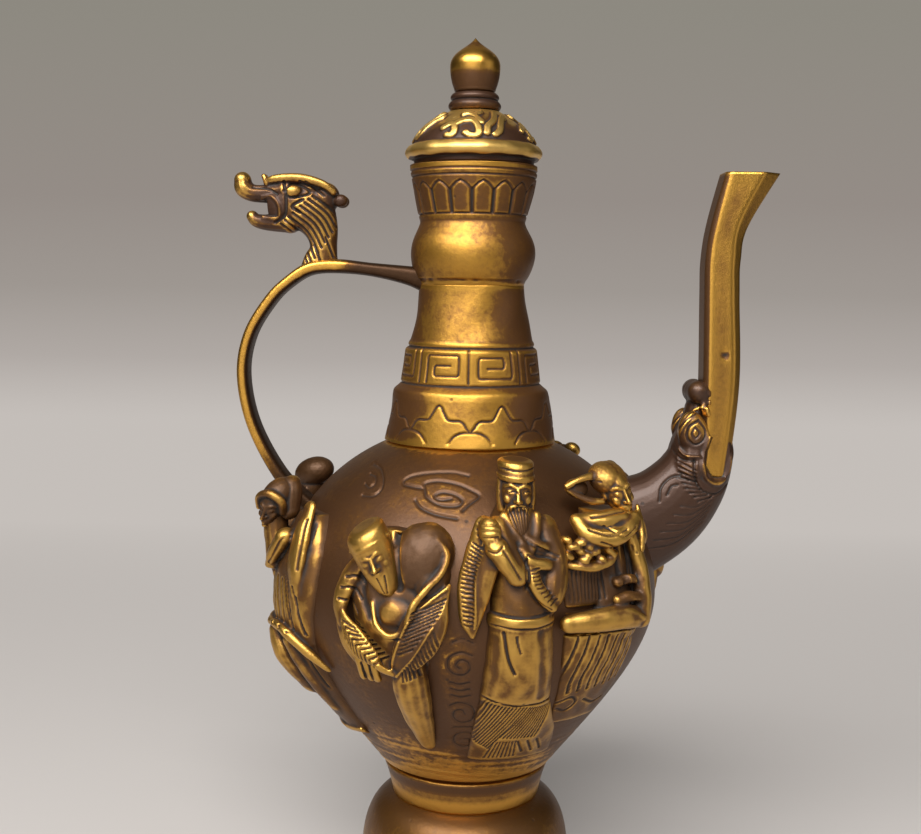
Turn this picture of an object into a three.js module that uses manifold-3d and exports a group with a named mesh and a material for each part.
// Bronze wine ewer, in millimetres, +Z up, with its spout on +X and its handle on -X.
// The origin is on the pot's axis, at the underside of the foot.
import * as THREE from "three";
import { mergeVertices } from "three/addons/utils/BufferGeometryUtils.js";
import Module from "manifold-3d";

// Fits between castings
const JOINT_GAP = 0.3;
const LID_CLEARANCE = 0.5;

// Walls
const BELLY_WALL = 3;
const NECK_WALL = 2.8;
const FOOT_WALL = 3;
const LID_WALL = 2;
const SPOUT_WALL = 1.8;

// Foot: bell, closing plate, and the band above it
const BELL_HEIGHT = 32;
const BELL_RIM_RADIUS = 38;
const BELL_RIM_HEIGHT = 4;
const BELL_SHOULDER_RADIUS = 35;
const BELL_TOP_RADIUS = 25;
const PLATE_THICKNESS = 2.5;
const BAND_HEIGHT = 13;
const BAND_RADIUS = 28.5;
const BAND_WAIST_RADIUS = 25.6;
const BAND_GROOVE_RADIUS = 26.6;
const BAND_GROOVE_HEIGHT = 1.4;

// Belly
const BELLY_HEIGHT = 110;
const BELLY_RADIUS = 64.3;
const BELLY_FOOT_RADIUS = 29.8;
const BELLY_WAIST_HEIGHT = 59.4;
const SHOULDER_ROUND_SHARE = 1.107;
const BELLY_MOUTH_RADIUS = 21.5;
const BELLY_CROWN_HEIGHT = 18;

// Lower neck: cloud collar tier, fret tier and cone
const CLOUD_HEIGHT = 19;
const CLOUD_RADIUS = 29.3;
const CLOUD_TOP_RADIUS = 26.8;
const CLOUD_STEP = 2.8;
const FRET_HEIGHT = 14;
const FRET_RADIUS = 23.8;
const FRET_TOP_RADIUS = 22.2;
const FRET_STEP = 1.2;
const CONE_HEIGHT = 20;
const CONE_RADIUS = 20.8;
const CONE_TOP_RADIUS = 17.7;
const NECK_SPIGOT_HEIGHT = 5;

// Upper neck: bulb ring and lotus cup
const BULB_HEIGHT = 21;
const BULB_RADIUS = 21.1;
const BULB_RISE = 10.5;
const CUP_WAIST_RADIUS = 17.7;
const CUP_HEIGHT = 18.6;
const CUP_RADIUS = 21.4;

// Lid: dome with bead, sleeve, double ring, bud and washer
const BEAD_RADIUS = 23.2;
const BEAD_HEIGHT = 5.4;
const DOME_RADIUS = 21;
const DOME_HEIGHT = 18.2;
const DOME_TOP_RADIUS = 8.8;
const SLEEVE_HEIGHT = 8;
const SLEEVE_WALL = 1.8;
const RING_RADIUS = 8.5;
const RING_HEIGHT = 5.6;
const BUD_RADIUS = 8.4;
const BUD_HEIGHT = 18;
const BUD_NECK_RADIUS = 6.7;
const TANG_RADIUS = 2.2;
const WASHER_RADIUS = 5;
const WASHER_THICKNESS = 1.6;
const LID_LIFT = 60;

// Spout: beast head root and channel
const ROOT_RISE = 20.9;
const ROOT_HALF_DEPTH = 12.2;
const ROOT_HALF_HEIGHT = 17.5;
const ROOT_BORE_RADIUS = 5.5;
const SPOUT_PORT_RADIUS = 7.8;
const TUBE_X = 84.3;
const TUBE_HALF_THICKNESS = 5.6;
const TUBE_HALF_WIDTH = 6.8;
const TUBE_STRAIGHT_LENGTH = 51;
const TUBE_LIP_LENGTH = 34.5;
const TUBE_LEAN = 8.7;
const TUBE_TIP_HALF_THICKNESS = 9.6;
const MOUTH_RISE = 35.7;
const MOUTH_DEPTH = 18;
const KNOB_RADIUS = 2.7;
const KNOB_RISE = 13;

// Handle: strap and dragon head
const STRAP_HALF_WIDTH = 5.5;
const STRAP_HALF_THICKNESS = 2.1;
const HANDLE_REACH = 77.8;
const HANDLE_ARM_RISE = 5.8;
const HANDLE_FOOT_RISE = 28.1;
const HEAD_SETBACK = 22.8;
const HEAD_RISE = 21.2;
const SNOUT_LENGTH = 26;

// Figures: where they part from the belly's slope
const LEAN_SHARE = 0.27;

// Facets
const RING_SIDES = 26;
const BELLY_SIDES = 36;
const BELLY_STEPS = 6;
const CAVITY_STEPS = 4;
const KNOB_SIDES = 14;
const ARC_STEPS = 4;

// Levels worked out from the heights above
const BAND_Z = BELL_HEIGHT;
const BELLY_Z = BAND_Z + BAND_HEIGHT;
const WAIST_Z = BELLY_Z + BELLY_WAIST_HEIGHT;
const NECK_Z = BELLY_Z + BELLY_HEIGHT;
const FRET_Z = NECK_Z + CLOUD_HEIGHT;
const CONE_Z = FRET_Z + FRET_HEIGHT;
const BULB_Z = CONE_Z + CONE_HEIGHT;
const CUP_Z = BULB_Z + BULB_HEIGHT;
const LIP_Z = CUP_Z + CUP_HEIGHT;
const DOME_TOP_Z = LIP_Z + DOME_HEIGHT;
const RING_Z = DOME_TOP_Z + JOINT_GAP;
const BUD_Z = RING_Z + RING_HEIGHT + JOINT_GAP;
const ROOT_Z = WAIST_Z + ROOT_RISE;
const MOUTH_Z = ROOT_Z + MOUTH_RISE;
const MOUTH_CORNER_Z = MOUTH_Z - MOUTH_DEPTH;
const SOCKET_Z = MOUTH_CORNER_Z + 2 * JOINT_GAP;
const KNOB_Z = MOUTH_Z + KNOB_RISE;
const BEND_Z = MOUTH_Z + TUBE_STRAIGHT_LENGTH;
const TIP_Z = BEND_Z + TUBE_LIP_LENGTH;
const ARM_Z = BULB_Z + HANDLE_ARM_RISE;
const HANDLE_FOOT_Z = WAIST_Z + HANDLE_FOOT_RISE;
const HEAD_Z = ARM_Z + HEAD_RISE;

const wasm = await Module();
wasm.setup();

// A closed geometry as a solid with its faces pointing out.
function solid(geometry) {
  geometry.deleteAttribute("normal");
  geometry.deleteAttribute("uv");
  const merged = mergeVertices(geometry, 1e-4);
  const vertProperties = merged.attributes.position.array;
  const triVerts = new Uint32Array(merged.index.array);
  const made = new wasm.Manifold(new wasm.Mesh({ numProp: 3, vertProperties, triVerts }));
  if (made.volume() > 0) return made;
  for (let i = 0; i < triVerts.length; i += 3) {
    [triVerts[i + 1], triVerts[i + 2]] = [triVerts[i + 2], triVerts[i + 1]];
  }
  return new wasm.Manifold(new wasm.Mesh({ numProp: 3, vertProperties, triVerts }));
}

function geometryOf(made) {
  const mesh = made.getMesh();
  const geometry = new THREE.BufferGeometry();
  const position = new THREE.BufferAttribute(new Float32Array(mesh.vertProperties), 3);
  geometry.setAttribute("position", position);
  geometry.setIndex(new THREE.BufferAttribute(new Uint32Array(mesh.triVerts), 1));
  return geometry;
}

const join = (solids) => solids.reduce((sum, next) => sum.add(next));

// A solid of revolution about +Z. The outline runs in x (radius) and y (height).
function revolve(draw, sides = RING_SIDES) {
  const outline = new THREE.Path();
  draw(outline);
  const lathe = new THREE.LatheGeometry(outline.getPoints(ARC_STEPS), sides);
  return solid(lathe.rotateX(Math.PI / 2));
}

const cylinder = (radius, low, high, sides = RING_SIDES) =>
  revolve((p) => p.moveTo(0, low).lineTo(radius, low).lineTo(radius, high).lineTo(0, high), sides);

// A solid through a row of rings that all have as many points, closed by a fan at each end.
function loft(rings) {
  const count = rings[0].length;
  const points = rings.flat();
  const faces = [];
  for (let r = 0; r + 1 < rings.length; r++) {
    for (let i = 0; i < count; i++) {
      const a = r * count + i;
      const b = r * count + ((i + 1) % count);
      faces.push(a, b, b + count, a, b + count, a + count);
    }
  }
  [0, rings.length - 1].forEach((r, end) => {
    const centre = new THREE.Vector3();
    rings[r].forEach((p) => centre.addScaledVector(p, 1 / count));
    points.push(centre);
    for (let i = 0; i < count; i++) {
      const a = r * count + i;
      const b = r * count + ((i + 1) % count);
      faces.push(...(end ? [a, b, points.length - 1] : [b, a, points.length - 1]));
    }
  });
  const geometry = new THREE.BufferGeometry().setFromPoints(points);
  geometry.setIndex(faces);
  return solid(geometry);
}

// Outlines of a section, from its half sizes across and along the side direction.
const oval = (sides) => (across, along) =>
  Array.from({ length: sides }, (_, i) => {
    const turn = (2 * Math.PI * (i + 0.5)) / sides;
    return [across * Math.cos(turn), along * Math.sin(turn)];
  });

const CHAMFER = 0.36;
const chamfered = (across, along) => {
  const cut = CHAMFER * Math.min(across, along);
  return [
    [across, cut - along], [across, along - cut], [across - cut, along], [cut - across, along],
    [-across, along - cut], [-across, cut - along], [cut - across, -along], [across - cut, -along],
  ];
};

// A sweep through stations of { at, size: [across, along] }, smooth between them.
// side is the direction that every section's second half size lies on.
function sweep(stations, steps, outline, side = new THREE.Vector3(0, 1, 0)) {
  const path = new THREE.CatmullRomCurve3(stations.map((s) => s.at), false, "catmullrom", 0.5);
  const sizes = new THREE.CatmullRomCurve3(
    stations.map((s) => new THREE.Vector3(s.size[0], s.size[1], 0)), false, "catmullrom", 0.5);
  const rings = [];
  for (let i = 0; i <= steps; i++) {
    const centre = path.getPoint(i / steps);
    const size = sizes.getPoint(i / steps);
    const along = path.getTangent(i / steps);
    const across = new THREE.Vector3().crossVectors(along, side).normalize();
    const level = new THREE.Vector3().crossVectors(across, along).normalize();
    rings.push(outline(size.x, size.y).map(([a, b]) =>
      centre.clone().addScaledVector(across, a).addScaledVector(level, b)));
  }
  return loft(rings);
}

const inPlane = (x, z) => new THREE.Vector3(x, 0, z);
const station = (x, z, across, along) => ({ at: inPlane(x, z), size: [across, along] });

function ball(x, y, z, rx, ry, rz, columns = 7, rows = 5) {
  const sphere = new THREE.SphereGeometry(1, columns, rows).rotateX(Math.PI / 2);
  return solid(sphere.scale(rx, ry, rz).translate(x, y, z));
}

const root = new THREE.Group();
const finishes = {
  bright_bronze: { color: 0xb8923c, roughness: 0.35, metalness: 1 },
  dark_bronze: { color: 0x6b4a34, roughness: 0.55, metalness: 0.9 },
  worn_bronze: { color: 0xa07a34, roughness: 0.42, metalness: 1 },
};

function add(name, made, finish, parent = root) {
  const mesh = new THREE.Mesh(geometryOf(made), new THREE.MeshStandardMaterial(finishes[finish]));
  mesh.name = name;
  parent.add(mesh);
}

// Belly. Outline from the foot up: a long lower curve, then an elliptical shoulder.
function bellyOutline(inset, steps = BELLY_STEPS) {
  const lower = new THREE.CubicBezierCurve(
    new THREE.Vector2(BELLY_FOOT_RADIUS, BELLY_Z),
    new THREE.Vector2(BELLY_FOOT_RADIUS + (BELLY_RADIUS - BELLY_FOOT_RADIUS) / 2,
      BELLY_Z + 0.37 * BELLY_WAIST_HEIGHT),
    new THREE.Vector2(BELLY_RADIUS, WAIST_Z - 0.3 * BELLY_WAIST_HEIGHT),
    new THREE.Vector2(BELLY_RADIUS, WAIST_Z));
  const topTurn = Math.asin(1 / SHOULDER_ROUND_SHARE);
  const shoulderRound = (NECK_Z - WAIST_Z) * SHOULDER_ROUND_SHARE;
  const outer = lower.getPoints(steps);
  for (let i = 1; i <= steps; i++) {
    const turn = (topTurn * i) / steps;
    outer.push(new THREE.Vector2(BELLY_RADIUS * Math.cos(turn),
      WAIST_Z + shoulderRound * Math.sin(turn)));
  }
  return outer.map((p, i) => {
    const before = outer[Math.max(i - 1, 0)];
    const after = outer[Math.min(i + 1, outer.length - 1)];
    const normal = new THREE.Vector2(after.y - before.y, before.x - after.x).normalize();
    return p.clone().addScaledVector(normal, -inset);
  });
}

// The belly's form inside a constant inset, flat at both ends.
function bellyForm(inset, floor, steps = BELLY_STEPS) {
  const outline = bellyOutline(inset, steps).map((p) => new THREE.Vector2(p.x, Math.max(p.y, floor)));
  const top = outline.at(-1);
  const closed = [new THREE.Vector2(0, outline[0].y), ...outline, new THREE.Vector2(0, top.y)];
  return solid(new THREE.LatheGeometry(closed, BELLY_SIDES).rotateX(Math.PI / 2));
}

function bellyRadiusAt(z) {
  const outline = bellyOutline(0);
  const next = Math.max(1, outline.findIndex((p) => p.y >= z));
  const above = z > outline.at(-1).y ? outline.at(-1) : outline[next];
  const below = z > outline.at(-1).y ? outline.at(-2) : outline[next - 1];
  return below.x + ((above.x - below.x) * (z - below.y)) / (above.y - below.y);
}

// A station of the spout root, by its shares of the way from the belly to the beast's mouth.
const rootStart = BELLY_RADIUS - 9;
const rootStation = (outShare, upShare, across, along) => station(
  THREE.MathUtils.lerp(rootStart, TUBE_X - 2, outShare),
  THREE.MathUtils.lerp(ROOT_Z, MOUTH_Z, upShare), across, along);

const rootBore = sweep([
  rootStation(0, -0.06, SPOUT_PORT_RADIUS, SPOUT_PORT_RADIUS),
  rootStation(0.43, 0.16, ROOT_BORE_RADIUS, ROOT_BORE_RADIUS),
  rootStation(0.79, 0.26, ROOT_BORE_RADIUS, ROOT_BORE_RADIUS),
  station(TUBE_X - 0.9, SOCKET_Z + 4, ROOT_BORE_RADIUS - 1.8, ROOT_BORE_RADIUS - 0.4),
], 6, oval(8));

// The belly is cast as a crown ring under the neck and four shells below it, which meet at the
// waist and in the plane of handle and spout.
const bellyClear = bellyForm(-JOINT_GAP, BELLY_Z);
const bellyShell = bellyForm(0, BELLY_Z)
  .subtract(bellyForm(BELLY_WALL, BELLY_Z + BELLY_WALL, CAVITY_STEPS))
  .subtract(cylinder(BELLY_MOUTH_RADIUS, NECK_Z - 3 * BELLY_WALL, NECK_Z + 1))
  .subtract(rootBore);
const halfGap = JOINT_GAP / 2;
const belowWaist = cylinder(2 * BELLY_RADIUS, BELLY_Z - 1, WAIST_Z - halfGap);
const belowShoulder = cylinder(2 * BELLY_RADIUS, BELLY_Z - 1, WAIST_Z + halfGap);
const crownFoot = NECK_Z - BELLY_CROWN_HEIGHT;
const belowCrown = cylinder(2 * BELLY_RADIUS, BELLY_Z - 1, crownFoot - halfGap);
add("belly_crown", bellyShell.subtract(
  cylinder(2 * BELLY_RADIUS, BELLY_Z - 1, crownFoot + halfGap)), "dark_bronze");
for (const [place, side] of [["front", -1], ["back", 1]]) {
  const half = bellyShell.intersect(belowCrown).intersect(solid(new THREE.BoxGeometry(
    4 * BELLY_RADIUS, 2 * BELLY_RADIUS, 4 * BELLY_RADIUS)
    .translate(0, side * (BELLY_RADIUS + halfGap), WAIST_Z)));
  add(`belly_bowl_${place}`, half.intersect(belowWaist), "dark_bronze");
  add(`belly_shoulder_${place}`, half.subtract(belowShoulder), "dark_bronze");
}

// Foot: band, bell with its rim, and the plate let in flush underneath.
add("foot_collar", revolve((p) => p
  .moveTo(BAND_GROOVE_RADIUS, BELLY_Z - JOINT_GAP)
  .lineTo(BAND_GROOVE_RADIUS - FOOT_WALL - 3, BELLY_Z - JOINT_GAP)
  .lineTo(BAND_WAIST_RADIUS - FOOT_WALL - 3, BAND_Z)
  .lineTo(BAND_WAIST_RADIUS, BAND_Z)
  .quadraticCurveTo(BAND_RADIUS - 1.6, BAND_Z + BAND_HEIGHT / 2,
    BAND_RADIUS, BELLY_Z - BAND_GROOVE_HEIGHT - 1.2)
  .lineTo(BAND_GROOVE_RADIUS, BELLY_Z - BAND_GROOVE_HEIGHT)
  .lineTo(BAND_GROOVE_RADIUS, BELLY_Z - JOINT_GAP)), "bright_bronze");

const plateRadius = BELL_RIM_RADIUS - FOOT_WALL - JOINT_GAP;
add("foot_bell", revolve((p) => p
  .moveTo(BELL_RIM_RADIUS, 0)
  .lineTo(BELL_RIM_RADIUS, BELL_RIM_HEIGHT)
  .lineTo(BELL_RIM_RADIUS - 1.6, BELL_RIM_HEIGHT + 1.4)
  .bezierCurveTo(BELL_SHOULDER_RADIUS + 1.4, 0.45 * BELL_HEIGHT,
    BELL_SHOULDER_RADIUS + 1, BELL_HEIGHT - 3,
    BELL_TOP_RADIUS, BELL_HEIGHT - JOINT_GAP)
  .lineTo(BELL_TOP_RADIUS - FOOT_WALL - 4, BELL_HEIGHT - JOINT_GAP)
  .lineTo(BELL_TOP_RADIUS - FOOT_WALL - 4, BELL_HEIGHT - JOINT_GAP - FOOT_WALL)
  .quadraticCurveTo(BELL_SHOULDER_RADIUS - FOOT_WALL, BELL_HEIGHT - FOOT_WALL - 1,
    BELL_RIM_RADIUS - FOOT_WALL, BELL_RIM_HEIGHT + 1.4)
  .lineTo(BELL_RIM_RADIUS - FOOT_WALL, 0)
  .lineTo(BELL_RIM_RADIUS, 0)), "bright_bronze");
add("foot_plate", cylinder(plateRadius, 0, PLATE_THICKNESS), "dark_bronze");

// The two outer lines of the neck that the handle is fitted to, each with room to spare or none.
const coneLine = (p, room) => p
  .lineTo(CONE_RADIUS + room, CONE_Z)
  .quadraticCurveTo(CONE_TOP_RADIUS + 0.7 + room, CONE_Z + CONE_HEIGHT / 2,
    CONE_TOP_RADIUS + room, BULB_Z);
const bulbLine = (p, room) => p
  .bezierCurveTo(BULB_RADIUS - 1 + room, BULB_Z + 4, BULB_RADIUS + room, BULB_Z + BULB_RISE - 3,
    BULB_RADIUS + room, BULB_Z + BULB_RISE);

// Lower neck, hollow, with the spigot that centres it in the belly's mouth.
const spigotRadius = BELLY_MOUTH_RADIUS - JOINT_GAP;
add("lower_neck", revolve((p) => coneLine(p
  .moveTo(spigotRadius, NECK_Z + JOINT_GAP)
  .lineTo(CLOUD_RADIUS, NECK_Z + JOINT_GAP)
  .quadraticCurveTo(CLOUD_TOP_RADIUS + 0.6, NECK_Z + CLOUD_HEIGHT / 2,
    CLOUD_TOP_RADIUS, FRET_Z - CLOUD_STEP)
  .lineTo(FRET_RADIUS + 0.6, FRET_Z)
  .lineTo(FRET_RADIUS, FRET_Z)
  .lineTo(FRET_TOP_RADIUS, CONE_Z - FRET_STEP), 0)
  .lineTo(CONE_TOP_RADIUS - NECK_WALL, BULB_Z)
  .lineTo(FRET_TOP_RADIUS - NECK_WALL, CONE_Z - FRET_STEP)
  .lineTo(spigotRadius - NECK_WALL, NECK_Z - NECK_SPIGOT_HEIGHT)
  .lineTo(spigotRadius, NECK_Z - NECK_SPIGOT_HEIGHT)
  .lineTo(spigotRadius, NECK_Z + JOINT_GAP)), "bright_bronze");

// Upper neck: bulb and flared cup over one even wall.
const neckFootZ = BULB_Z + JOINT_GAP;
add("upper_neck", revolve((p) => bulbLine(p.moveTo(CONE_TOP_RADIUS, neckFootZ), 0)
  .bezierCurveTo(BULB_RADIUS, BULB_Z + BULB_RISE + 5, CUP_WAIST_RADIUS + 0.6, CUP_Z - 3,
    CUP_WAIST_RADIUS, CUP_Z)
  .quadraticCurveTo(CUP_WAIST_RADIUS + 2.8, CUP_Z + CUP_HEIGHT / 2, CUP_RADIUS, LIP_Z - 1.6)
  .lineTo(CUP_RADIUS, LIP_Z)
  .lineTo(CUP_RADIUS - NECK_WALL, LIP_Z)
  .lineTo(CUP_WAIST_RADIUS - NECK_WALL, CUP_Z)
  .quadraticCurveTo(BULB_RADIUS - NECK_WALL, BULB_Z + BULB_RISE,
    CONE_TOP_RADIUS - NECK_WALL, neckFootZ)
  .lineTo(CONE_TOP_RADIUS, neckFootZ)), "bright_bronze");

// Lid, in a group of its own because it lifts off along +Z.
const lid = new THREE.Group();
lid.userData.lift = LID_LIFT;
root.add(lid);
const beadLow = LIP_Z + JOINT_GAP;
const beadHigh = beadLow + BEAD_HEIGHT;
const seatRadius = CUP_RADIUS - NECK_WALL - SLEEVE_WALL - 2;
const tangBore = TANG_RADIUS + JOINT_GAP;
add("lid_dome", revolve((p) => p
  .moveTo(seatRadius, beadLow)
  .lineTo(BEAD_RADIUS - 2, beadLow)
  .quadraticCurveTo(BEAD_RADIUS + 2, (beadLow + beadHigh) / 2, BEAD_RADIUS - 2, beadHigh)
  .lineTo(DOME_RADIUS, beadHigh)
  .bezierCurveTo(DOME_RADIUS - 2, beadHigh + 5, DOME_TOP_RADIUS + 7, DOME_TOP_Z - 4,
    DOME_TOP_RADIUS, DOME_TOP_Z)
  .lineTo(tangBore, DOME_TOP_Z)
  .lineTo(tangBore, DOME_TOP_Z - LID_WALL)
  .lineTo(DOME_TOP_RADIUS - LID_WALL / 2, DOME_TOP_Z - LID_WALL)
  .quadraticCurveTo(seatRadius, beadHigh + 6, seatRadius, beadLow)), "worn_bronze", lid);

// The sleeve follows the cup's flare, so it centres the lid and still lifts straight out.
const cupBoreAt = (z) =>
  CUP_RADIUS - NECK_WALL - ((CUP_RADIUS - CUP_WAIST_RADIUS) * (LIP_Z - z)) / CUP_HEIGHT;
const sleeveTop = cupBoreAt(LIP_Z) - LID_CLEARANCE;
const sleeveFoot = cupBoreAt(LIP_Z - SLEEVE_HEIGHT) - LID_CLEARANCE;
add("lid_spigot", revolve((p) => p
  .moveTo(sleeveTop, LIP_Z)
  .lineTo(sleeveTop - SLEEVE_WALL, LIP_Z)
  .lineTo(sleeveFoot - SLEEVE_WALL, LIP_Z - SLEEVE_HEIGHT)
  .lineTo(sleeveFoot, LIP_Z - SLEEVE_HEIGHT)
  .lineTo(sleeveTop, LIP_Z)), "dark_bronze", lid);

const ringTop = RING_Z + RING_HEIGHT;
add("finial_collar", revolve((p) => p
  .moveTo(tangBore, RING_Z)
  .lineTo(RING_RADIUS, RING_Z)
  .quadraticCurveTo(RING_RADIUS + 0.6, RING_Z + 1.7, RING_RADIUS - 0.6, RING_Z + 3)
  .quadraticCurveTo(RING_RADIUS + 0.4, RING_Z + 4.2, BUD_NECK_RADIUS + 0.6, ringTop)
  .lineTo(tangBore, ringTop)
  .lineTo(tangBore, RING_Z), KNOB_SIDES), "dark_bronze", lid);

const washerTop = DOME_TOP_Z - LID_WALL - JOINT_GAP;
add("finial_bud", revolve((p) => p
  .moveTo(0, washerTop - WASHER_THICKNESS)
  .lineTo(TANG_RADIUS, washerTop - WASHER_THICKNESS)
  .lineTo(TANG_RADIUS, BUD_Z)
  .lineTo(BUD_NECK_RADIUS, BUD_Z)
  .bezierCurveTo(BUD_RADIUS - 1, BUD_Z + 3, BUD_RADIUS + 0.2, BUD_Z + 5,
    BUD_RADIUS, BUD_Z + 0.52 * BUD_HEIGHT)
  .bezierCurveTo(BUD_RADIUS - 0.6, BUD_Z + 0.76 * BUD_HEIGHT, 2.2, BUD_Z + 0.82 * BUD_HEIGHT,
    0, BUD_Z + BUD_HEIGHT), KNOB_SIDES), "bright_bronze", lid);
add("finial_washer", revolve((p) => p
  .moveTo(tangBore, washerTop)
  .lineTo(tangBore, washerTop - WASHER_THICKNESS)
  .lineTo(WASHER_RADIUS, washerTop - WASHER_THICKNESS)
  .lineTo(WASHER_RADIUS, washerTop)
  .lineTo(tangBore, washerTop), KNOB_SIDES), "dark_bronze", lid);

// Spout channel: straight up from its socket, then leaning out to a flared lip.
function channel(grow, low, high) {
  const wide = TUBE_HALF_WIDTH + grow;
  const thick = TUBE_HALF_THICKNESS + grow;
  return sweep([
    station(TUBE_X - 0.9, low, thick - 0.6, wide - 0.3),
    station(TUBE_X + 0.6, (low + BEND_Z) / 2, thick + 0.4, wide),
    station(TUBE_X - 0.2, BEND_Z, thick, wide),
    station(TUBE_X + 0.2 * TUBE_LEAN, BEND_Z + 0.43 * TUBE_LIP_LENGTH, thick + 0.9, wide + 0.2),
    station(TUBE_X + TUBE_LEAN, high, TUBE_TIP_HALF_THICKNESS + grow, wide + 0.6),
  ], 12, chamfered);
}
const cutSize = 2 * BELLY_RADIUS;
const lipCut = solid(new THREE.BoxGeometry(cutSize, cutSize, cutSize)
  .translate(TUBE_X + TUBE_LEAN, 0, TIP_Z + cutSize / 2));
const tubeFoot = SOCKET_Z + JOINT_GAP;
add("spout_tube", channel(0, tubeFoot, TIP_Z + 1)
  .subtract(channel(-SPOUT_WALL, tubeFoot - 2, TIP_Z + 3))
  .subtract(lipCut), "bright_bronze");

// Beast head: a neck that rises from the belly, gaping round the channel, with a scroll knob.
const beastNeck = sweep([
  station(rootStart - 4 * BELLY_WALL, ROOT_Z - 4.3, ROOT_HALF_HEIGHT + 1, ROOT_HALF_DEPTH + 1),
  rootStation(0, 0, ROOT_HALF_HEIGHT, ROOT_HALF_DEPTH),
  rootStation(0.43, 0.18, 0.89 * ROOT_HALF_HEIGHT, ROOT_HALF_DEPTH),
  rootStation(0.73, 0.43, 0.79 * ROOT_HALF_HEIGHT, ROOT_HALF_DEPTH - 0.4),
  rootStation(0.915, 0.72, 0.65 * ROOT_HALF_HEIGHT, ROOT_HALF_DEPTH - 1.6),
  rootStation(1, 1, 0.54 * ROOT_HALF_HEIGHT, TUBE_HALF_WIDTH + 2.4),
], 8, oval(10));
const jawX = TUBE_X - TUBE_HALF_THICKNESS;
const upperJaw = sweep([
  station(jawX - 5.7, MOUTH_Z - 12, 5, 8),
  station(jawX - 3.3, MOUTH_Z, 3.2, 7),
  station(jawX - 2.5, KNOB_Z, 2.4, 5.5),
], 5, oval(8));
const scroll = solid(new THREE.CylinderGeometry(KNOB_RADIUS, KNOB_RADIUS, 2 * TUBE_HALF_WIDTH, 12)
  .translate(jawX - KNOB_RADIUS, 0, KNOB_Z));
const browY = ROOT_HALF_DEPTH - 3.2;
const beastSides = [-1, 1].flatMap((side) => [
  ball(jawX - 2.2, side * browY, MOUTH_Z - 5, 4.4, 3.4, 6),
  ball(jawX + 3.7, side * browY, MOUTH_Z - 12, 5.8, 3.2, 7),
]);
const mouthX = TUBE_X - 0.4;
const mouthCorner = solid(new THREE.CylinderGeometry(
  TUBE_HALF_THICKNESS, TUBE_HALF_THICKNESS, 4 * ROOT_HALF_DEPTH, 12)
  .translate(mouthX, 0, MOUTH_CORNER_Z + TUBE_HALF_THICKNESS));
const mouthSlot = solid(new THREE.BoxGeometry(
  2 * TUBE_HALF_THICKNESS, 4 * ROOT_HALF_DEPTH, cutSize)
  .translate(mouthX, 0, MOUTH_CORNER_Z + TUBE_HALF_THICKNESS + cutSize / 2));
add("spout_root", join([beastNeck, upperJaw, scroll, ...beastSides])
  .subtract(bellyClear)
  .subtract(mouthCorner.add(mouthSlot))
  .subtract(channel(JOINT_GAP, SOCKET_Z, TIP_Z + 1))
  .subtract(rootBore), "worn_bronze");

// Handle: one strap from the neck, over the arm and the bow, to the belly.
const bulbClear = revolve((p) => bulbLine(p
  .moveTo(0, BULB_Z - JOINT_GAP)
  .lineTo(CONE_TOP_RADIUS + JOINT_GAP, BULB_Z - JOINT_GAP)
  .lineTo(CONE_TOP_RADIUS + JOINT_GAP, BULB_Z), JOINT_GAP)
  .lineTo(0, BULB_Z + BULB_RISE));
const coneClear = revolve((p) => coneLine(p.moveTo(0, CONE_Z - 4), JOINT_GAP).lineTo(0, BULB_Z));
const bow = HANDLE_REACH;
const arm = STRAP_HALF_THICKNESS;
const bowMiddle = THREE.MathUtils.lerp(HANDLE_FOOT_Z, ARM_Z, 0.53);
const footX = bellyRadiusAt(HANDLE_FOOT_Z);
const strapStation = (x, z, grow, spread = 0) =>
  station(x, z, arm + grow, STRAP_HALF_WIDTH + spread);
const topRun = (grow, spread) => [
  strapStation(-0.44 * bow, ARM_Z - 1, 0.2 + grow, spread),
  strapStation(-0.59 * bow, ARM_Z, 0.3 + grow, spread),
  strapStation(23 - bow, ARM_Z - 0.9, 0.2 + grow, spread),
  strapStation(16.2 - bow, ARM_Z - 5, grow, spread),
];
const strap = sweep([
  strapStation(3.7 - CONE_TOP_RADIUS, BULB_Z + 1, 2.4),
  strapStation(-CONE_TOP_RADIUS - 4.3, BULB_Z + 3, 1.1),
  ...topRun(0, 0),
  strapStation(9.6 - bow, ARM_Z - 11.4, 0),
  strapStation(2.4 - bow, bowMiddle + 14, 0),
  strapStation(-bow, bowMiddle, 0),
  strapStation(3.4 - bow, bowMiddle - 17, 0),
  strapStation(12.4 - bow, HANDLE_FOOT_Z + 10, 0.2),
  strapStation(-footX, HANDLE_FOOT_Z, 0.6),
  strapStation(8 - footX, HANDLE_FOOT_Z - 7, 0.8),
], 26, oval(8));
add("handle_strap", strap.subtract(bulbClear).subtract(coneClear).subtract(bellyClear),
  "bright_bronze");

// Dragon head: neck and skull in one sweep, then jaws, curled nose, horns, ears and eyes.
const crest = HEAD_SETBACK - bow;
const snout = crest - SNOUT_LENGTH;
const dragonNeck = sweep([
  station(crest + 6.4, ARM_Z + 1, 6.6, 4.2),
  station(crest + 4.4, ARM_Z + 7.2, 4.4, 4.4),
  station(crest + 3.4, HEAD_Z - 8, 5.2, 5.2),
  station(crest + 0.4, HEAD_Z - 2.6, 8.6, 6.2),
  station(crest - 5.5, HEAD_Z - 0.6, 9.2, 6.4),
  station(crest - 11.4, HEAD_Z - 0.8, 8.4, 5.8),
  station(crest - 15.4, HEAD_Z - 1, 6.4, 4.8),
], 8, oval(8));
const muzzle = sweep([
  station(crest - 10, HEAD_Z + 3.4, 4.2, 5),
  station(crest - 18, HEAD_Z + 3.6, 3.3, 4.6),
  station(snout + 2.6, HEAD_Z + 5, 3.1, 3.8),
  station(snout + 2, HEAD_Z + 8, 1.7, 2.8),
], 5, oval(7));
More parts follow.
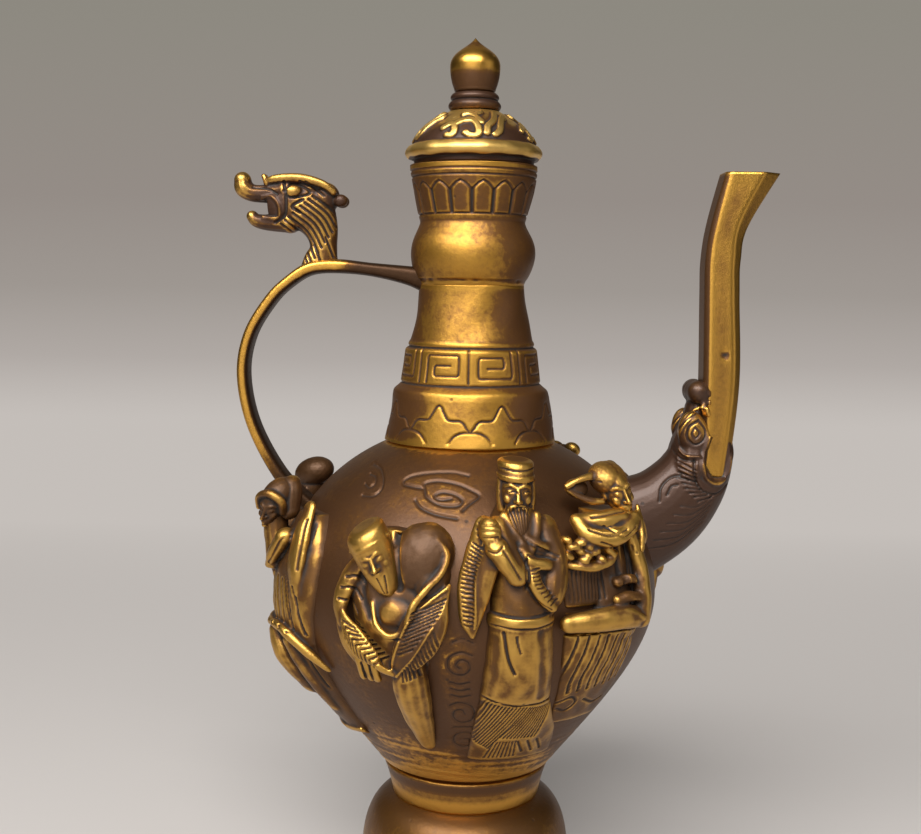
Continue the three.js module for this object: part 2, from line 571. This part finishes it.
const lowerJaw = sweep([
  station(crest - 10, HEAD_Z - 6.4, 3.4, 4.6),
  station(crest - 17, HEAD_Z - 7.6, 2.2, 4),
  station(crest - 20.6, HEAD_Z - 7.6, 1.2, 2.6),
], 3, oval(7));
const dragonSides = [-1, 1].flatMap((side) => [
  ball(crest - 5, side * 5.4, HEAD_Z + 3, 3.2, 2.2, 2.4),
  ball(crest + 8.4, side * 4, HEAD_Z + 1.6, 4, 2.4, 2.4),
  ball(crest - 6, side * 4.6, HEAD_Z + 6.8, 10, 2, 2),
]);
add("handle_dragon_head", join([dragonNeck, muzzle, lowerJaw, ...dragonSides])
  .subtract(sweep(topRun(JOINT_GAP, cutSize), 6, chamfered)), "worn_bronze");

// Figures. Each is drawn upright and flat, in the units of a drawing made for a belly of this size,
// with x to the viewer's right, z up and out towards the viewer. It is then laid round the belly
// and fitted to its height. Low down it follows the belly, and from leanZ on it stands along the
// slope there, so that the heads rise clear of the shoulder.
const DRAWING = { radius: 64.3, waist: 104.4, shoulder: 50.6, lower: 59.4 };
const drawingScale = BELLY_RADIUS / DRAWING.radius;
const leanZ = THREE.MathUtils.lerp(WAIST_Z, NECK_Z, LEAN_SHARE);
const leanSlope = bellyRadiusAt(leanZ + 1) - bellyRadiusAt(leanZ);
const backRadiusAt = (z) =>
  z < leanZ ? bellyRadiusAt(z) : bellyRadiusAt(leanZ) + leanSlope * (z - leanZ);

function placedHeight(z) {
  const rise = z - DRAWING.waist;
  const share = rise > 0
    ? (NECK_Z - WAIST_Z) / DRAWING.shoulder
    : (WAIST_Z - BELLY_Z) / DRAWING.lower;
  return WAIST_Z + rise * share;
}

function layRound(flat, azimuth) {
  const geometry = geometryOf(flat);
  const position = geometry.attributes.position;
  for (let i = 0; i < position.count; i++) {
    const z = placedHeight(position.getZ(i));
    const radius = Math.max(backRadiusAt(z) - position.getY(i) * drawingScale, BELLY_MOUTH_RADIUS);
    const turn = THREE.MathUtils.degToRad(azimuth) + (position.getX(i) * drawingScale) / radius;
    position.setX(i, radius * Math.sin(turn));
    position.setY(i, -radius * Math.cos(turn));
    position.setZ(i, z);
  }
  return solid(geometry);
}

const OUTWARD = new THREE.Vector3(0, -1, 0);
const BACKING = 16;
const SMALLEST = 0.4;
const ROBE_ARC = 6;

// A cloth covered stretch of body through levels of [z, x, half width, depth out].
const robe = (levels) => loft(levels.map(([z, x, half, depth]) => [
  ...Array.from({ length: ROBE_ARC }, (_, i) => {
    const turn = (Math.PI * i) / (ROBE_ARC - 1);
    return new THREE.Vector3(x - half * Math.cos(turn), -depth * Math.sin(turn), z);
  }),
  new THREE.Vector3(x + half, BACKING, z),
  new THREE.Vector3(x - half, BACKING, z),
]));

// A limb or a fold through points of [x, z, out, radius], flattened towards the belly.
const limb = (points, flat = 1) => sweep(points.map(([x, z, out, radius]) => ({
  at: new THREE.Vector3(x, -out, z),
  size: [Math.max(radius, SMALLEST), Math.max(radius * flat, SMALLEST)],
})), points.length - 1, oval(5), OUTWARD);

const lump = (x, z, out, rx, rz, ro) => ball(x, -out, z, rx, ro, rz);
const head = (x, z, out) => lump(x, z, out, 4.7, 6.6, 5.4);

const figures = {
  figure_elder: { azimuth: 14, parts: () => [
    head(1, 148.6, 1.5),
    limb([[1, 151.5, 1, 5.6], [1, 156.6, 0.4, 4.8]]),
    limb([[1, 144.5, 4, 3.6], [1.2, 139, 5.4, 2.6], [1.4, 133.6, 5.6, 0.8]], 0.7),
    robe([[58.5, 5.6, 12.4, 5], [72, 3.4, 12, 6.4], [84, 2, 11, 7.6], [107, 1, 9.6, 7.4],
      [124, 1, 9.2, 8.6], [136, 1, 9, 7], [141, 1, 4, 4.6]]),
    limb([[-8, 135, 3.4, 4], [-10.6, 124, 7, 4], [-10.2, 136, 9.6, 3.2]]),
    lump(-10.4, 138, 9.8, 3.2, 4, 3.2),
    limb([[-8.6, 134, 7, 4.2], [-11.4, 120, 6.6, 5], [-15.4, 109, 4, 3.6], [-18.6, 100, 1, 1]], 0.55),
    limb([[8.6, 135, 2.6, 4.4], [10.6, 122, 5, 4.6], [5, 115, 9, 4], [0.4, 124, 10.6, 3]]),
    limb([[8.6, 124, 6, 4.6], [10.4, 112, 5.4, 4], [11, 100, 3, 1.2]], 0.6),
  ] },
  figure_piper: { azimuth: 42, parts: () => [
    head(7.4, 143.4, 6.6),
    lump(-2.6, 145.6, 6, 4.4, 4, 4),
    limb([[6.6, 148, 5.6, 5], [0.6, 148, 5.4, 3.2]]),
    robe([[97, 0, 12, 4], [104, 0, 11, 7], [112, 1.6, 9.4, 7.6], [124, 4, 7.4, 7.4],
      [132, 5.6, 7.4, 6.4], [138.4, 6.6, 3.6, 6]]),
    limb([[-1, 133, 4.6, 3.6], [-5, 126, 8.6, 3.6], [1.6, 131.6, 12.4, 3], [4.6, 136.4, 12.6, 2.4]]),
    limb([[11, 133, 3.4, 3.6], [12.6, 124, 6, 3.4], [9.8, 131, 10.4, 2.8], [8, 136, 11.6, 2.2]]),
    limb([[5, 113, 6, 4.4], [9.4, 116, 8, 4], [9.6, 108, 7.6, 3.4], [8.4, 102, 8, 2.6]]),
    limb([[-9.4, 123.6, 4, 2.2], [-5, 124.8, 8.4, 2], [1, 124, 9.6, 1.6]]),
    limb([[-11.6, 99, 3, 2.6], [0, 97.6, 6, 3.4], [11, 98.6, 3, 2.6]]),
    robe([[70, 3, 8, 2.4], [84, 1.6, 10.4, 3.4], [97.4, 0.4, 11.4, 4.2]]),
  ] },
  figure_porter: { azimuth: -18, parts: () => [
    lump(-8.4, 124.4, 8, 6, 9, 6),
    limb([[-11.6, 133, 4.4, 4], [-8, 130, 8.6, 4.8], [-5.4, 119, 9, 3.4]]),
    lump(2, 122, 2.6, 9.4, 11.6, 6.6),
    robe([[88, 0, 8, 3], [97, -1, 9.6, 6], [107, -3, 10, 7.4], [118, -2, 10.6, 5],
      [129, 0, 8, 3]]),
    lump(-4.6, 106.6, 4.6, 6, 5.6, 5.4),
    limb([[-14.6, 121, 3, 3.4], [-18.6, 110, 4.6, 3.4], [-12, 99, 8.6, 3], [-8, 93, 9.4, 2]], 0.8),
    limb([[-19.8, 116, 1.6, 1.6], [-16.4, 104, 4, 4.6], [-9.6, 93.6, 6, 3.2], [-5, 88, 5, 1]], 0.5),
    limb([[12, 124, 1, 2.4], [9.6, 112, 5.4, 6.2], [3, 100, 7.4, 5], [-3.4, 90, 6.6, 1.2]], 0.5),
    limb([[2.6, 94, 2, 5], [2.6, 80, 3, 4.4], [1.6, 67.6, 2.4, 4.8]]),
    limb([[-6.4, 92, 2, 4.2], [-8.6, 86, 2.4, 3.2]]),
  ] },
  figure_sash: { azimuth: -66, parts: () => [
    head(-5, 133.2, 13.8),
    limb([[-5.2, 136.6, 12.8, 5.4], [-5.2, 139.8, 11.4, 3.8]]),
    limb([[-2.6, 126, 6.6, 3.6], [-4.8, 131, 11.8, 3.6]]),
    robe([[60, -3, 9, 3], [72, -2, 10.4, 4], [86, 0, 10, 4.2], [100, 1, 9.6, 3],
      [116, 0, 9, 4.6], [127, -2, 7.6, 8.4], [131, -2.6, 3.6, 8.4]]),
    limb([[-8, 126, 5, 3.4], [-8.6, 112, 3.6, 3.4], [-4, 101, 4, 2.6]]),
    limb([[6, 126, 5.4, 3.8], [10.6, 113, 5, 4], [4.6, 103, 6, 3]]),
    limb([[-8, 97, 2, 1.8], [0, 94, 4.6, 2], [10, 90, 4, 2], [17, 85, 1.6, 1.4]]),
    limb([[10.6, 114, 3.6, 3.6], [12.4, 104, 3, 4], [12, 92, 1.6, 1.4]], 0.6),
  ] },
  figure_scholar: { azimuth: -109, parts: () => [
    head(0, 134, 3.2),
    limb([[0, 138, 2.2, 5.2], [0, 142, 1.4, 4]]),
    robe([[60, 0, 10, 2.4], [74, 0, 10, 3.6], [88, 0, 9.4, 5], [104, 0, 9, 6],
      [123, 0, 8.6, 6.6], [128.4, 0, 3.8, 5]]),
    limb([[-8, 123, 4, 4], [-9.2, 111, 6.4, 4.2], [-2, 108, 9.4, 3]]),
    limb([[8, 123, 4, 4], [9.2, 111, 6.4, 4.2], [2, 108, 9.4, 3]]),
    limb([[-3.6, 109, 8, 5], [-5, 90, 4.6, 1.4]], 0.6),
    limb([[3.6, 109, 8, 5], [5, 90, 4.6, 1.4]], 0.6),
    limb([[0, 107, 9.4, 1.4], [0.6, 125, 10.4, 1.6]], 0.5),
  ] },
  figure_fan: { azimuth: -174, parts: () => [
    head(0, 146, 3.4),
    lump(0, 152.6, 2.4, 3, 2.8, 3),
    lump(0, 119, 4, 9, 10.6, 6.4),
    robe([[60, 0, 11.6, 2], [76, 0, 11, 4.4], [92, 0, 10, 6.6], [106, 0, 9.6, 7.6],
      [134, 0, 9, 6], [140, 0, 4, 4]]),
    limb([[-8.4, 132, 4, 4.2], [-11.6, 119, 6.6, 4], [-9.6, 108, 9.4, 3]]),
    limb([[8.4, 132, 4, 4.2], [12.4, 122, 7, 4], [10.6, 132, 10.4, 3]]),
    limb([[10, 132, 10.6, 1.6], [11, 142, 9.6, 5.4], [11.4, 148, 8.6, 1.4]], 0.4),
    limb([[-11.4, 112, 6, 4.6], [-12.6, 100, 4.6, 3.4], [-12.4, 91, 2.4, 1]], 0.6),
  ] },
  figure_basket: { azimuth: 140, parts: () => [
    head(0, 141.6, 2.6),
    lump(-3.8, 147.2, 1.6, 3.2, 2.8, 3),
    lump(3.8, 147.2, 1.6, 3.2, 2.8, 3),
    robe([[62, 0, 10, 2], [76, 0, 9.6, 4], [90, 0, 8.8, 6], [106, 0, 8.4, 7],
      [131, 0, 8, 6.4], [136, 0, 3.6, 4]]),
    limb([[-7.6, 131, 4.6, 3.8], [-10.4, 119, 7, 3.8], [-4.4, 111, 10, 2.8]]),
    limb([[7.6, 131, 4.6, 3.8], [10.4, 119, 7, 3.8], [7, 109.6, 9.6, 2.8]]),
    limb([[1, 106.6, 9.6, 2.6], [1.4, 100, 9.4, 5.4], [1.4, 96, 8.6, 4.2]]),
  ] },
  figure_lotus: { azimuth: 114, parts: () => [
    head(0, 134, 3.6),
    limb([[0, 137.4, 2.4, 5.2], [0.6, 143, 1.4, 2.6]]),
    robe([[58, 0, 11.4, 2], [72, 0, 10.6, 3.6], [86, 0, 9, 5], [100, 0, 8, 6],
      [123, 0, 7.6, 6.4], [128.6, 0, 3.4, 4.4]]),
    limb([[-7.4, 121, 4, 3.6], [-9.6, 109, 5.8, 4], [-4, 104, 8.6, 2.8]]),
    limb([[7.4, 121, 4, 3.6], [9.6, 110, 6.4, 3.8], [6, 116, 9, 2.8]]),
    limb([[4, 98, 8, 1.2], [6.6, 118, 9.8, 1.2], [8.6, 130, 8.6, 1.4]]),
    lump(8.8, 133, 8, 4.2, 4, 3.4),
    limb([[-8.6, 106, 5, 4.4], [-9.4, 96, 3.6, 4], [-9, 86, 2, 1]], 0.6),
  ] },
};

for (const [name, figure] of Object.entries(figures)) {
  const laid = layRound(join(figure.parts()), figure.azimuth);
  add(name, laid.subtract(bellyClear), "worn_bronze");
}

export default root;
